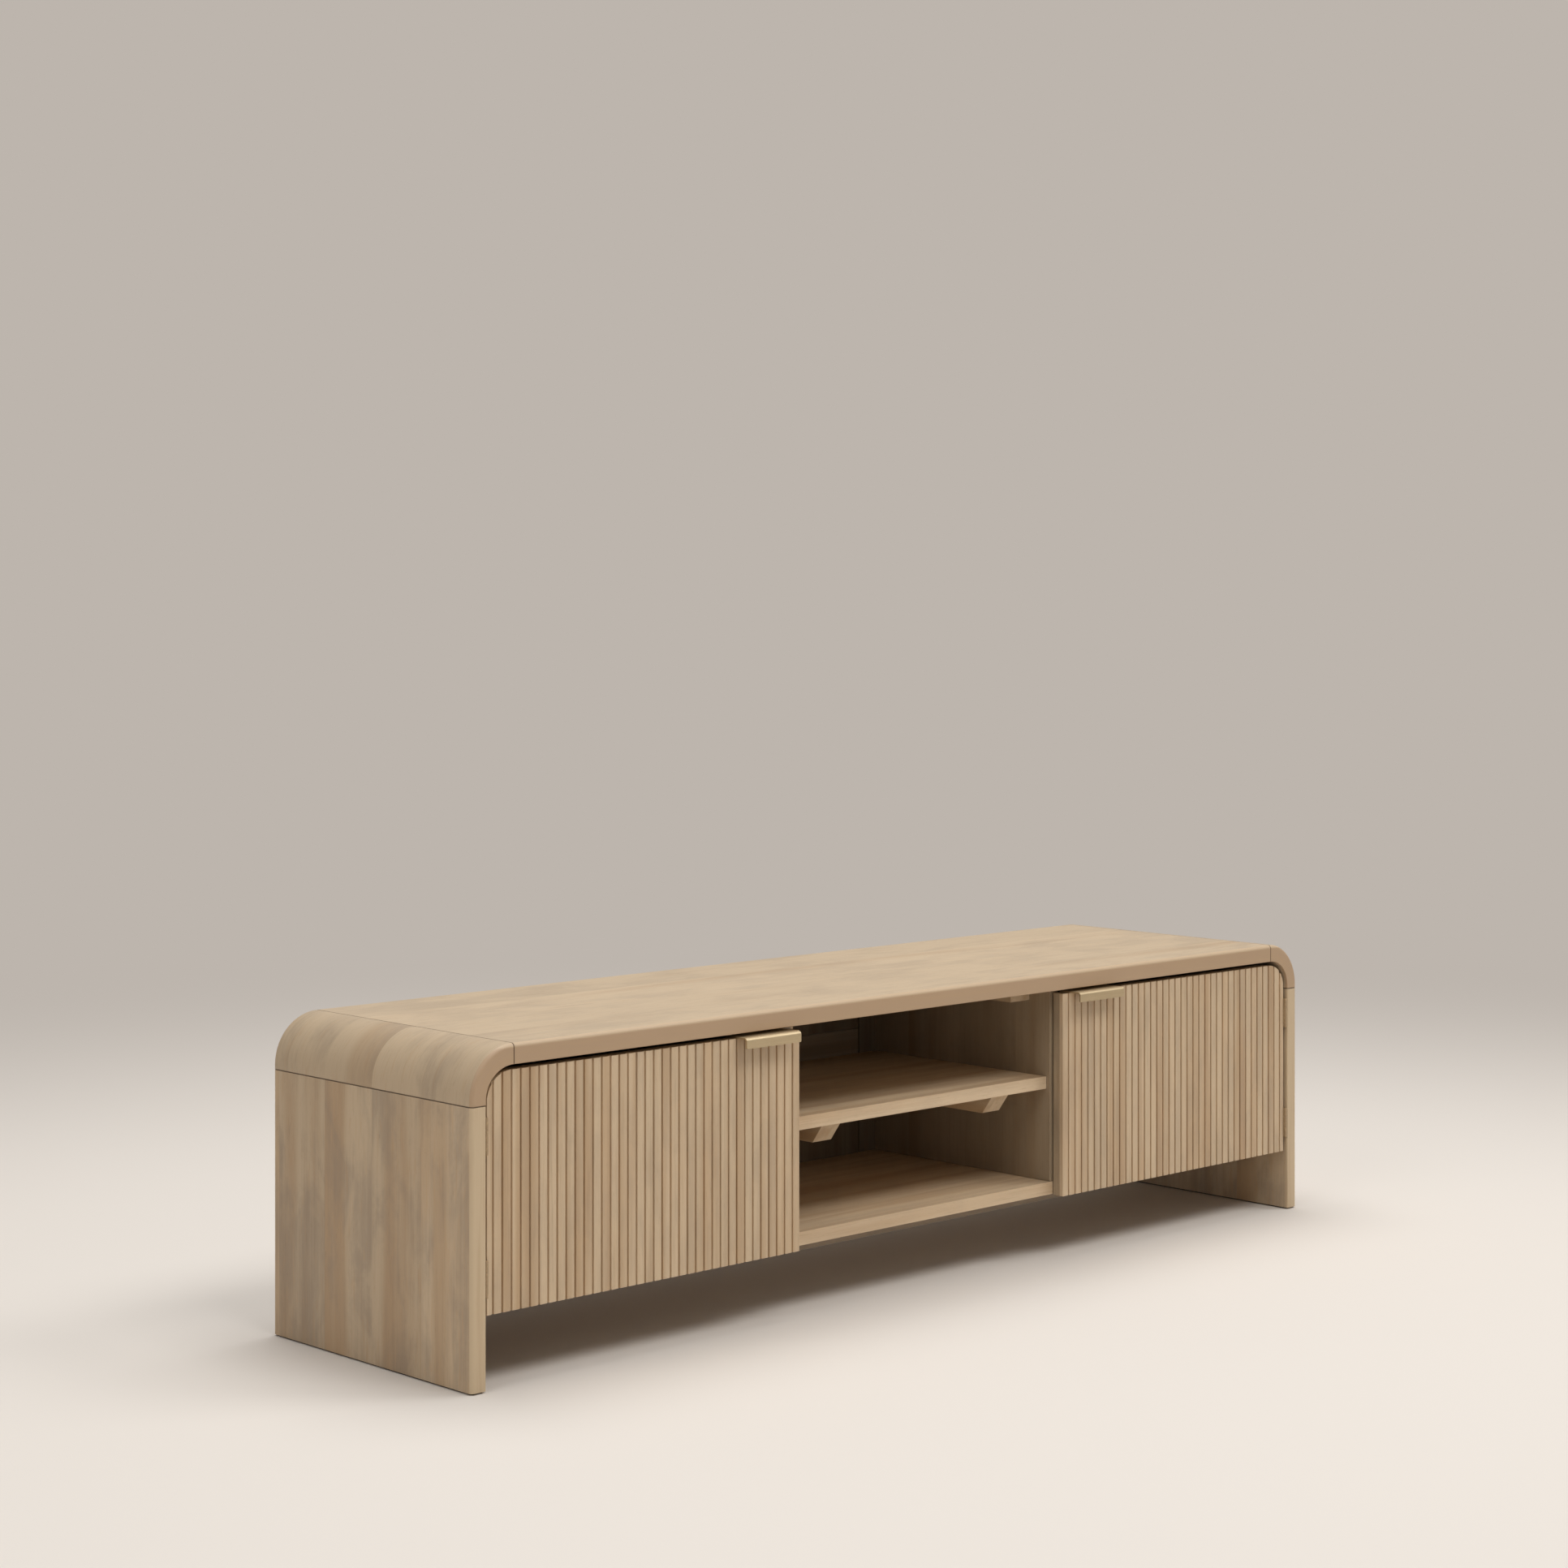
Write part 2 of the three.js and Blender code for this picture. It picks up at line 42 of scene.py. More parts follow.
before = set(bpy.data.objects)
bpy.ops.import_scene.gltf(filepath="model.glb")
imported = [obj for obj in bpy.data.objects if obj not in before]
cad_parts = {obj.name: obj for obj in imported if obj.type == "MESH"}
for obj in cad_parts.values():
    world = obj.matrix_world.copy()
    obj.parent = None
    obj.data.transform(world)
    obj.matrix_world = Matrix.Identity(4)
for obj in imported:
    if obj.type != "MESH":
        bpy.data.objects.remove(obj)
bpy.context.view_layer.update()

MM = 0.001
CARCASS = "carcass"
SIDES = {"left": -1, "right": 1}
CLOSE = 1e-6
SHARP_ANGLE = math.radians(35)
FIRST_REED_SHORT = 0.1
MIX_BELOW, MIX_ABOVE, MIX_RESULT = 6, 7, 2
RELIEF_STRENGTH = 0.3
LACQUER_IOR = 1.45
LEAF_STRIDE = 37
LEAF_SHUFFLE = (9.0, 5.0, 3.0)
LEAF_DARKENS = 0.16
LEAF_LIGHTENS = 0.06
# Width of the painted light and shade on the frame's front and back edge faces.
EDGE_PAINT_START = 5.5 * MM
EDGE_PAINT_END = 4 * MM
# Height of the painted highlight along the frame's upper front and back edge.
FILLET_HIGHLIGHT_START = 7 * MM
FILLET_HIGHLIGHT_END = 4 * MM
# Width of the painted shade along the frame's seams.
SEAM_SHADE_START = 1.3 * MM
SEAM_SHADE_END = 0.8 * MM
PIT_START = 0.66
PIT_END = 0.76
GRAIN = "grain"
ALONG_SURFACE = "along surface"
X_GRAIN = (0, 1, 2)
X_GRAIN_UPRIGHT = (0, 2, 1)
DEPTH_GRAIN = (1, 0, 2)
SIDE_GRAIN = (2, 1, 0)
FRONT_GRAIN = (2, 0, 1)
FLOOR_RADIUS = 14.0
BACKDROP_RADIUS = 13.9
BACKDROP_HEIGHT = 12.0


def linear(hex_colour):
    """An sRGB hex colour as the linear red, green and blue that shaders take."""
    parts = [int(hex_colour[i:i + 2], 16) / 255 for i in (1, 3, 5)]
    return tuple(p / 12.92 if p <= 0.04045 else ((p + 0.055) / 1.055) ** 2.4 for p in parts)


# ---- Sizes and colours that a user would change ----


def length(name, description, default):
    """A length property in metres, given in millimetres."""
    return bpy.props.FloatProperty(
        name=name, description=description, default=default * MM, min=0, subtype="DISTANCE", unit="LENGTH"
    )


def colour(name, description, default):
    """A colour property, given as an sRGB hex value."""
    return bpy.props.FloatVectorProperty(
        name=name, description=description, default=linear(default), min=0, max=1, size=3, subtype="COLOR"
    )


class CabinetSizes(bpy.types.PropertyGroup):
    """Rounds, eased edges and reed sizes of the finished pieces."""

    outer_round: length("Outer round", "Radius of the frame's outer front and back edges", 6)
    inner_round: length("Inner round", "Radius of the frame's inner edges", 1.2)
    seam_ease: length("Seam ease", "Arris at both sides of a seam in the frame", 0.5)
    board_ease: length("Board ease", "Arris of the carcass boards", 0.8)
    corner_radius: length("Corner radius", "Outer radius of the corner blocks", 72)
    door_round: length("Door round", "Radius of each door's upper outer corner", 40)
    reed_pitch: length("Reed pitch", "Distance from one reed to the next", 15.81)
    reed_groove: length("Reed groove", "Width of the groove between two reeds", 3)
    groove_depth: length("Groove depth", "Depth of the groove between two reeds", 3)
    reed_ease: length("Reed ease", "Radius of each reed's long edges", 1)
    sheet: length("Sheet", "Thickness of the pulls' sheet metal", 2.2)
    lip: length("Lip", "Height of the pull's front lip", 15.5)
    lip_round: length("Lip round", "Radius of the lip's lower corners", 1.5)
    lip_bend: length("Lip bend", "Outer radius of the pull's front bend", 5)
    back_bend: length("Back bend", "Outer radius of the pull's rear bend", 3.2)


class CabinetColours(bpy.types.PropertyGroup):
    """Colours of the finishes, before the light falls on them. The frame's edge and seam colours are painted
    light and shade.
    """

    oak_light: colour("Oak, light", "Pale earlywood of the veneer", "#C8B192")
    oak_mid: colour("Oak, middle", "Main tone of the veneer", "#B59876")
    oak_dark: colour("Oak, dark", "Latewood streaks and pores", "#876A4F")
    oak_warm: colour("Oak, warm", "Tan flecks left unwashed", "#BD9A73")
    # Painted shade: the top's and corner blocks' front and back edge faces are darker than their veneer.
    top_edge_painted_shade: colour("Oak, top edge", "Solid front and back edge of the top", "#B29678")
    # Painted light: the sides' front and back edge faces are lighter than their veneer, for the light
    # falling on them from the front.
    leg_edge_painted_light: colour("Oak, leg edge", "Solid front and back edge of the sides", "#C8B292")
    # Painted shade: the dark band laid along the frame's seams.
    seam_painted_shade: colour("Seam shade", "Dark hairline at the frame's seams", "#5E4A36")
    oak_grey: colour("Oak, grey", "Cool patches left by the wash coat", "#988672")
    pull_brass: colour("Pull brass", "Satin champagne brass", "#C1AF8F")
    hinge_paint: colour("Hinge paint", "Oak-brown painted steel", "#A58C6B")
    zinc: colour("Zinc", "Bright zinc plating", "#C4C5C3")
    catch_brown: colour("Catch brown", "Moulded catch bodies", "#5D5248")
    glide_black: colour("Glide black", "Rubber strip under each side", "#2E2925")
    floor: colour("Floor", "Studio floor", "#DED7CF")
    backdrop: colour("Backdrop", "Paper behind and far round the floor", "#BDB5AD")


class CabinetStudio(bpy.types.PropertyGroup):
    """Camera, lamps and paper backdrop."""

    lens: bpy.props.FloatProperty(name="Lens", description="Focal length", default=69.35, unit="CAMERA")
    heading: bpy.props.FloatProperty(
        name="Heading", description="Turn of the level camera from the cabinet's front",
        default=math.radians(43.7), subtype="ANGLE", unit="ROTATION",
    )
    shift: bpy.props.FloatProperty(name="Shift", description="Rise of the lens", default=-0.1178)
    eye: bpy.props.FloatVectorProperty(
        name="Eye", description="Camera position", default=(-3.3597, -3.3938, 1.0539),
        subtype="TRANSLATION", unit="LENGTH",
    )
    front_power: bpy.props.FloatProperty(
        name="Front lamp", description="Lamp power", default=101, min=0, unit="POWER")
    top_power: bpy.props.FloatProperty(
        name="Top lamp", description="Lamp power", default=168, min=0, unit="POWER")
    left_power: bpy.props.FloatProperty(
        name="Left lamp", description="Lamp power", default=44, min=0, unit="POWER")
    right_power: bpy.props.FloatProperty(
        name="Right lamp", description="Lamp power", default=208, min=0, unit="POWER")
    sky: bpy.props.FloatProperty(name="Sky", description="Strength of the even light", default=0.3, min=0)
    pool_ahead: bpy.props.FloatProperty(
        name="Pool ahead", description="How far in front of the cabinet the lit floor is centred",
        default=0.8, unit="LENGTH")
    pool_near: bpy.props.FloatProperty(
        name="Pool near", description="Where the floor starts to fade", default=1.7, unit="LENGTH")
    pool_far: bpy.props.FloatProperty(
        name="Pool far", description="Where the floor meets the backdrop's tone",
        default=5.0, unit="LENGTH")


# ---- Mesh helpers ----


def link(piece):
    bpy.context.scene.collection.objects.link(piece)
    return piece


def object_from(bm, name):
    """Closes a bmesh into an object whose curved faces shade smoothly and whose flats stay flat."""
    bmesh.ops.remove_doubles(bm, verts=bm.verts, dist=CLOSE)
    bmesh.ops.recalc_face_normals(bm, faces=bm.faces)
    for face in bm.faces:
        face.smooth = True
    for edge in bm.edges:
        edge.smooth = edge.calc_face_angle(0) < SHARP_ANGLE
    mesh = bpy.data.meshes.new(name)
    bm.to_mesh(mesh)
    bm.free()
    piece = link(bpy.data.objects.new(name, mesh))
    even = piece.modifiers.new("even_shading", "WEIGHTED_NORMAL")
    even.keep_sharp = True
    return piece


def round_corners(bm, corners, radius, segments):
    bmesh.ops.bevel(
        bm, geom=corners, offset=radius, offset_type="OFFSET", segments=segments, profile=0.5,
        affect="VERTICES", material=-1,
    )


def ease_edges(bm, edges, width, segments=2):
    bmesh.ops.bevel(
        bm, geom=edges, offset=width, offset_type="OFFSET", segments=segments, profile=0.5,
        affect="EDGES", clamp_overlap=True, material=-1,
    )


def pull_out(bm, faces, offset):
    """Extrudes faces along an offset and returns the faces at the far end."""
    made = bmesh.ops.extrude_face_region(bm, geom=faces)["geom"]
    bmesh.ops.translate(bm, verts=[g for g in made if isinstance(g, bmesh.types.BMVert)], vec=offset)
    return [g for g in made if isinstance(g, bmesh.types.BMFace)]


def face_through(bm, corners):
    """One face through these corners."""
    return bm.faces.new([bm.verts.new(corner) for corner in corners])


def edges_in_plane(bm, axis, value):
    """Edges that lie in the plane where one coordinate has this value."""
    return [e for e in bm.edges if all(abs(v.co[axis] - value) < CLOSE for v in e.verts)]


def cut_away(bm, point, normal):
    """Cuts a closed mesh by a plane, drops the side that the normal points to, and caps the cut."""
    geometry = [*bm.verts, *bm.edges, *bm.faces]
    cut = bmesh.ops.bisect_plane(
        bm, geom=geometry, dist=CLOSE / 10, plane_co=point, plane_no=normal, clear_outer=True)
    rim = [g for g in cut["geom_cut"] if isinstance(g, bmesh.types.BMEdge)]
    if rim:
        bmesh.ops.holes_fill(bm, edges=rim, sides=0)


def to_side(bm, side):
    """Leaves a right-hand shape as it is, or turns it into its left-hand twin."""
    bmesh.ops.scale(bm, vec=(SIDES[side], 1, 1), verts=bm.verts)


# ---- Material helpers ----


def add_node(tree, kind, inputs=None, output=0, **settings):
    """Adds a shader node with its settings and links, and returns one of its output sockets."""
    made = tree.nodes.new(kind)
    for name, value in settings.items():
        setattr(made, name, value)
    for name, value in (inputs or {}).items():
        if isinstance(value, bpy.types.NodeSocket):
            tree.links.new(value, made.inputs[name])
        else:
            made.inputs[name].default_value = value
    return made.outputs[output] if made.outputs else None


def new_material(name):
    """An empty principled material, its node tree and its shader."""
    material = bpy.data.materials.new(name)
    material.use_nodes = True
    tree = material.node_tree
    tree.nodes.clear()
    surface = add_node(tree, "ShaderNodeBsdfPrincipled")
    add_node(tree, "ShaderNodeOutputMaterial", {"Surface": surface})
    return material, tree, surface.node


def show_instead(tree, surface):
    """Gives a material's output another surface."""
    output = next(node for node in tree.nodes if node.type == "OUTPUT_MATERIAL")
    tree.links.new(surface, output.inputs["Surface"])


def opaque(rgb):
    return (*rgb, 1.0)


def brighter(rgb, factor):
    return tuple(min(1.0, part * factor) for part in rgb)


def finish(piece, material):
    piece.data.materials.clear()
    piece.data.materials.append(material)


def stretched_noise(tree, place, along, across, **inputs):
    """Noise with features of these sizes in millimetres along and across the grain."""
    scale = (1 / (along * MM), 1 / (across * MM), 1 / (across * MM))
    drawn = add_node(tree, "ShaderNodeMapping", {"Vector": place, "Scale": scale})
    return add_node(tree, "ShaderNodeTexNoise", {"Vector": drawn, "Scale": 1.0, **inputs})


def lay_over(tree, tone, rgb, pattern, low, high, most=1.0):
    """Lays a colour over a tone as a pattern goes from low to high, or falls if low is the greater."""
    rise = {"Value": pattern, "From Min": low, "From Max": high, "To Max": most}
    share = add_node(tree, "ShaderNodeMapRange", rise, interpolation_type="SMOOTHSTEP")
    inputs = {"Factor": share, MIX_BELOW: tone, MIX_ABOVE: opaque(rgb)}
    return add_node(tree, "ShaderNodeMix", inputs, MIX_RESULT, data_type="RGBA")


def surface_detail(tree, shader, roughness, height, depth):
    """Connects a roughness pattern, and a height pattern as relief of this depth in millimetres."""
    tree.links.new(roughness, shader.inputs["Roughness"])
    relief = {"Height": height, "Strength": RELIEF_STRENGTH, "Distance": depth * MM}
    tree.links.new(add_node(tree, "ShaderNodeBump", relief), shader.inputs["Normal"])


# ---- Finishes ----


def grain_space(tree, axes):
    """Metres along the grain, across the face and into the board, from the object's own coordinates."""
    if axes == ALONG_SURFACE:
        return add_node(tree, "ShaderNodeAttribute", None, "Vector", attribute_name=GRAIN)
    place = add_node(tree, "ShaderNodeTexCoord", None, "Object")
    parts = [add_node(tree, "ShaderNodeSeparateXYZ", {0: place}, axis) for axis in axes]
    return add_node(tree, "ShaderNodeCombineXYZ", dict(enumerate(parts)))


def frame_edges(tree, tone, streaks, edge_colour):
    """Painted light and shade on the frame's front and back edge faces (lighter on the sides, darker on the
    top and corner blocks), a painted highlight along the top's upper front and back edge, and painted shade
    along each of its seams.
    """
    colours = bpy.context.scene.cabinet_colours
    low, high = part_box("top_panel")
    middle = (low.y + high.y) / 2
    place = add_node(tree, "ShaderNodeTexCoord", None, "Object")
    x, y, z = [add_node(tree, "ShaderNodeSeparateXYZ", {0: place}, axis) for axis in range(3)]
    # Painted light and shade: the edge faces take the edge colour, streaked with the veneer's middle tone.
    painted_edge_tone = lay_over(tree, opaque(edge_colour), colours.oak_mid, streaks, 0.42, 0.75, 0.5)
    # Painted highlight: the uppermost few millimetres of the edge are lightened.
    painted_edge_tone = lay_over(tree, painted_edge_tone, colours.oak_light, z, high.z - FILLET_HIGHLIGHT_START, high.z - FILLET_HIGHLIGHT_END, 0.6)
    centred = add_node(tree, "ShaderNodeMath", {0: y, 1: middle}, operation="SUBTRACT")
    off_middle = add_node(tree, "ShaderNodeMath", {0: centred}, operation="ABSOLUTE")
    edge = high.y - middle
    rise = {"Value": off_middle, "From Min": edge - EDGE_PAINT_START, "From Max": edge - EDGE_PAINT_END}
    share = add_node(tree, "ShaderNodeMapRange", rise, interpolation_type="SMOOTHSTEP")
    edged = {"Factor": share, MIX_BELOW: tone, MIX_ABOVE: painted_edge_tone}
    tone = add_node(tree, "ShaderNodeMix", edged, MIX_RESULT, data_type="RGBA")
    out = add_node(tree, "ShaderNodeMath", {0: x}, operation="ABSOLUTE")
    # Painted shade: a dark band along the top's ends and the corner blocks' lower seams, where the groove
    # between the pieces is shaded.
    for place_on, seam in ((out, high.x), (z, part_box("right_corner_block")[0].z)):
        offset = add_node(tree, "ShaderNodeMath", {0: place_on, 1: seam}, operation="SUBTRACT")
        near = add_node(tree, "ShaderNodeMath", {0: offset}, operation="ABSOLUTE")
        tone = lay_over(tree, tone, colours.seam_painted_shade, near, SEAM_SHADE_START, SEAM_SHADE_END, 0.6)
    return tone


def oak_veneer(name, axes, seed, leaf=112.0, offset=0.0, band=34.0, wash=0.5, streak=0.3, leaf_change=0.5,
               pale=0.3, depth=1.0, edge_colour=None):
    """White oak veneer in slip-matched leaves, wire-brushed, washed grey in patches and matt lacquered.

    That gives the eye long soft bands, a small change of tone at each leaf, cool patches with
    feathered ends, fine dark pores that run with the grain, and a low broken sheen. The pores are
    drawn about three times as coarse as real ones, so that they show.
    """
    colours = bpy.context.scene.cabinet_colours
    material, tree, shader = new_material(name)
    place = grain_space(tree, axes)
    across = add_node(tree, "ShaderNodeSeparateXYZ", {0: place}, 1)
    counted = {0: across, 1: 1 / (leaf * MM), 2: offset / leaf + seed * LEAF_STRIDE}
    leaves = add_node(tree, "ShaderNodeMath", counted, operation="MULTIPLY_ADD")
    number = add_node(tree, "ShaderNodeMath", {0: leaves}, operation="FLOOR")
    chance = add_node(tree, "ShaderNodeTexWhiteNoise", {"W": number}, "Color", noise_dimensions="1D")
    luck = add_node(tree, "ShaderNodeTexWhiteNoise", {"W": number}, "Value", noise_dimensions="1D")
    shuffled = {0: chance, 1: LEAF_SHUFFLE, 2: place}
    moved = add_node(tree, "ShaderNodeVectorMath", shuffled, operation="MULTIPLY_ADD")
    broad = stretched_noise(tree, moved, 900, band, Detail=2.0, Distortion=0.3)
    streaks = stretched_noise(tree, moved, 220, 8, Detail=4.0, Roughness=0.6)
    patches = stretched_noise(tree, moved, 170, 80, Detail=5.0, Roughness=0.62, Distortion=0.4)
    flecks = stretched_noise(tree, moved, 55, 6, Detail=3.0, Distortion=0.5)
    fibre = stretched_noise(tree, moved, 70, 1.6, Detail=3.0)
    pores = stretched_noise(tree, moved, 14, 0.9, Detail=1.0)
    bleach = 0.3 * pale
    tone = lay_over(tree, opaque(colours.oak_mid), colours.oak_light, broad, 0.38 - bleach, 0.68 - bleach)
    feathered = {0: streaks, 1: 0.22, 2: patches}
    cool = add_node(tree, "ShaderNodeMath", feathered, operation="MULTIPLY_ADD")
    tone = lay_over(tree, tone, colours.oak_grey, cool, 0.5, 0.78, wash)
    tone = lay_over(tree, tone, colours.oak_warm, flecks, 0.54, 0.7, 0.55 * wash)
    tone = lay_over(tree, tone, colours.oak_dark, streaks, 0.5, 0.78, streak)
    tone = lay_over(tree, tone, colours.oak_dark, fibre, 0.52, 0.8, 0.2)
    tone = lay_over(tree, tone, colours.oak_dark, pores, PIT_START, PIT_END, 0.2)
    # depth scales the value of the whole tone; the carcass and door boards use it for painted light and
    # shade.
    darkest = depth * (1 - LEAF_DARKENS * leaf_change)
    lightest = depth * (1 + LEAF_LIGHTENS * leaf_change)
    value = add_node(tree, "ShaderNodeMapRange", {"Value": luck, "To Min": darkest, "To Max": lightest})
    tone = add_node(tree, "ShaderNodeHueSaturation", {"Value": value, "Color": tone})
    if edge_colour:
        tone = frame_edges(tree, tone, streaks, edge_colour)
    tree.links.new(tone, shader.inputs["Base Color"])
    shader.inputs["IOR"].default_value = LACQUER_IOR
    pits = add_node(tree, "ShaderNodeMapRange", {"Value": pores, "From Min": PIT_START, "From Max": PIT_END})
    sheen = add_node(tree, "ShaderNodeMath", {0: fibre, 1: 0.14, 2: 0.4}, operation="MULTIPLY_ADD")
    rough = add_node(tree, "ShaderNodeMath", {0: pits, 1: 0.2, 2: sheen}, operation="MULTIPLY_ADD")
    relief = add_node(tree, "ShaderNodeMath", {0: fibre, 1: pits}, operation="SUBTRACT")
    surface_detail(tree, shader, rough, relief, 0.1)
    return material


def satin_brass():
    """Brass sheet, long-brushed and clear lacquered: a soft champagne glow drawn out along its lines."""
    colours = bpy.context.scene.cabinet_colours
    material, tree, shader = new_material("brushed_satin_brass")
    place = add_node(tree, "ShaderNodeTexCoord", None, "Object")
    lines = stretched_noise(tree, place, 45, 0.35, Detail=3.0)
    haze = stretched_noise(tree, place, 30, 18, Detail=2.0)
    brass = colours.pull_brass
    tone = lay_over(tree, opaque(brass), brighter(brass, 1.12), lines, 0.3, 0.7)
    tree.links.new(tone, shader.inputs["Base Color"])
    shader.inputs["Metallic"].default_value = 1.0
    rough = add_node(tree, "ShaderNodeMath", {0: lines, 1: 0.12, 2: 0.4}, operation="MULTIPLY_ADD")
    rough = add_node(tree, "ShaderNodeMath", {0: haze, 1: 0.08, 2: rough}, operation="MULTIPLY_ADD")
    surface_detail(tree, shader, rough, lines, 0.02)
    return material


def small_part_finish(name, rgb, metallic, roughness, grit):
    """Plated, painted or moulded small parts: one colour, broken by grit of this size in millimetres."""
    material, tree, shader = new_material(name)
    place = add_node(tree, "ShaderNodeTexCoord", None, "Object")
    speckle = stretched_noise(tree, place, grit, grit, Detail=3.0)
    wear = stretched_noise(tree, place, grit * 12, grit * 12, Detail=4.0)
    tone = lay_over(tree, opaque(rgb), brighter(rgb, 1.35), wear, 0.45, 0.75)
    tree.links.new(tone, shader.inputs["Base Color"])
    shader.inputs["Metallic"].default_value = metallic
    rough = add_node(tree, "ShaderNodeMath", {0: speckle, 1: 0.18, 2: roughness}, operation="MULTIPLY_ADD")
    surface_detail(tree, shader, rough, speckle, 0.03)
    return material


# ---- Pieces ----


def frame_section(bm, corners, outer, inner):
    """A rounded cross-section of the frame board; the first two corners lie on its inner face."""
    face = face_through(bm, corners)
    inner_corners = list(face.verts)[:2]
    outer_corners = list(face.verts)[2:]
    round_corners(bm, outer_corners, outer, 12)
    round_corners(bm, inner_corners, inner, 5)
    return list(bm.faces)


def make_top(sizes):
    """The top panel: one section run from seam to seam."""
    low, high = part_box("top_panel")
    bm = bmesh.new()
    corners = [
        (low.x, low.y, low.z), (low.x, high.y, low.z), (low.x, high.y, high.z), (low.x, low.y, high.z)
    ]
    section = frame_section(bm, corners, sizes.outer_round, sizes.inner_round)
    pull_out(bm, section, (high.x - low.x, 0, 0))
    ends = edges_in_plane(bm, 0, low.x) + edges_in_plane(bm, 0, high.x)
    ease_edges(bm, ends, sizes.seam_ease)
    return object_from(bm, "top_panel_veneered")


def make_corner_block(sizes, side):
    """A short straight foot, then a quarter turn of the same section up to the top seam."""
    low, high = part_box("right_corner_block")
    radius = sizes.corner_radius
    centre = Vector((high.x - radius, 0, high.z - radius))
    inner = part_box("right_side_panel")[0].x
    bm = bmesh.new()
    corners = [
        (inner, high.y, low.z), (inner, low.y, low.z), (high.x, low.y, low.z), (high.x, high.y, low.z)
    ]
    section = frame_section(bm, corners, sizes.outer_round, sizes.inner_round)
    end = pull_out(bm, section, (0, 0, centre.z - low.z))
    rim = list({edge for face in end for edge in face.edges})
    bmesh.ops.spin(
        bm, geom=end + rim, cent=centre, axis=(0, 1, 0), angle=-math.pi / 2, steps=32, use_duplicate=False
    )
    across = inner - centre.x
    near_inside = across + 2 * sizes.inner_round
    inside = [
        v for v in bm.verts
        if v.co.z > centre.z and math.hypot(v.co.x - centre.x, v.co.z - centre.z) < near_inside
    ]
    rise = (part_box("top_panel")[0].z - centre.z) / across
    bmesh.ops.scale(bm, vec=(1, 1, rise), space=Matrix.Translation(-centre), verts=inside)
    cut_away(bm, (low.x, 0, 0), (-1, 0, 0))
    bmesh.ops.recalc_face_normals(bm, faces=bm.faces)
    ease_edges(bm, edges_in_plane(bm, 0, low.x) + edges_in_plane(bm, 2, low.z), sizes.seam_ease)
    grain = bm.verts.layers.float_vector.new(GRAIN)
    for vert in bm.verts:
        reach = vert.co - centre
        turn = math.atan2(max(reach.z, 0), reach.x)
        depth = math.hypot(reach.x, max(reach.z, 0))
        vert[grain] = (min(vert.co.z, centre.z) + turn * radius, vert.co.y, depth)
    to_side(bm, side)
    return object_from(bm, f"{side}_corner_block_veneered")


def make_slat_facing(sizes, side):
    """Reeds over a thin web, run up the door and cut to its rounded upper outer corner."""
    low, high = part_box("right_slat_facing")
    web = low.y + sizes.groove_depth
    grooves = []
    centre = low.x + (1 - FIRST_REED_SHORT) * sizes.reed_pitch
    while centre < high.x:
        grooves.append(centre)
        centre += sizes.reed_pitch
    edges = [low.x]
    for centre in grooves:
        edges += [centre - sizes.reed_groove / 2, centre + sizes.reed_groove / 2]
    edges.append(high.x)
    bm = bmesh.new()
    for index, (start, end) in enumerate(zip(edges, edges[1:])):
        strip = [(start, web, low.z), (start, high.y, low.z), (end, high.y, low.z), (end, web, low.z)]
        face_through(bm, strip)
        if index % 2 == 0:
            reed = face_through(
                bm, [(start, low.y, low.z), (start, web, low.z), (end, web, low.z), (end, low.y, low.z)])
            round_corners(bm, [v for v in reed.verts if v.co.y == low.y], sizes.reed_ease, 4)
    bmesh.ops.remove_doubles(bm, verts=bm.verts, dist=CLOSE)
    pull_out(bm, list(bm.faces), (0, 0, high.z - low.z))
    bmesh.ops.recalc_face_normals(bm, faces=bm.faces)
    turning = Vector((high.x - sizes.door_round, 0, high.z - sizes.door_round))
    steps = 24
    for step in range(steps):
        turn = math.pi / 2 * (step + 0.5) / steps
        normal = Vector((math.cos(turn), 0, math.sin(turn)))
        cut_away(bm, turning + normal * sizes.door_round, normal)
    to_side(bm, side)
    return object_from(bm, f"{side}_reeded_facing")


def make_pull(sizes, side):
    """Folded sheet: a leg behind the door, a tab over its edge, and a lip in front."""
    low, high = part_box("right_pull")
    path = [(high.y, low.z), (high.y, high.z), (low.y, high.z), (low.y, high.z - sizes.lip)]
    bm = bmesh.new()
    rows = [[bm.verts.new((x, y, z)) for y, z in path] for x in (low.x, high.x)]
    for i in range(len(path) - 1):
        bm.faces.new([rows[0][i], rows[0][i + 1], rows[1][i + 1], rows[1][i]])
    lip_corners = [v for v in bm.verts if v.co.z == rows[0][3].co.z]
    round_corners(bm, lip_corners, sizes.lip_round, 4)
    for fold_y, bend in ((high.y, sizes.back_bend), (low.y, sizes.lip_bend)):
        folds = [
            e for e in bm.edges
            if all(abs(v.co.y - fold_y) < CLOSE and abs(v.co.z - high.z) < CLOSE for v in e.verts)
        ]
        ease_edges(bm, folds, bend, 8)
    bmesh.ops.recalc_face_normals(bm, faces=bm.faces)
    bmesh.ops.solidify(bm, geom=list(bm.faces), thickness=sizes.sheet)
    to_side(bm, side)
    return object_from(bm, f"{side}_bent_pull")


def ease_cad_node(name, width, segments=2):
    """Welds a CAD node's loose triangles and eases its arrises with live modifiers."""
    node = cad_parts[name]
    weld = node.modifiers.new("weld", "WELD")
    weld.merge_threshold = 10 * CLOSE
    ease = node.modifiers.new("eased_edges", "BEVEL")
    ease.width = width
    ease.segments = segments
    ease.limit_method = "ANGLE"
    ease.angle_limit = SHARP_ANGLE
    even = node.modifiers.new("even_shading", "WEIGHTED_NORMAL")
    even.weight = 100
    return node


def pair(*names):
    return [f"{side}_{name}" for side in SIDES for name in names]


# ---- Operators ----


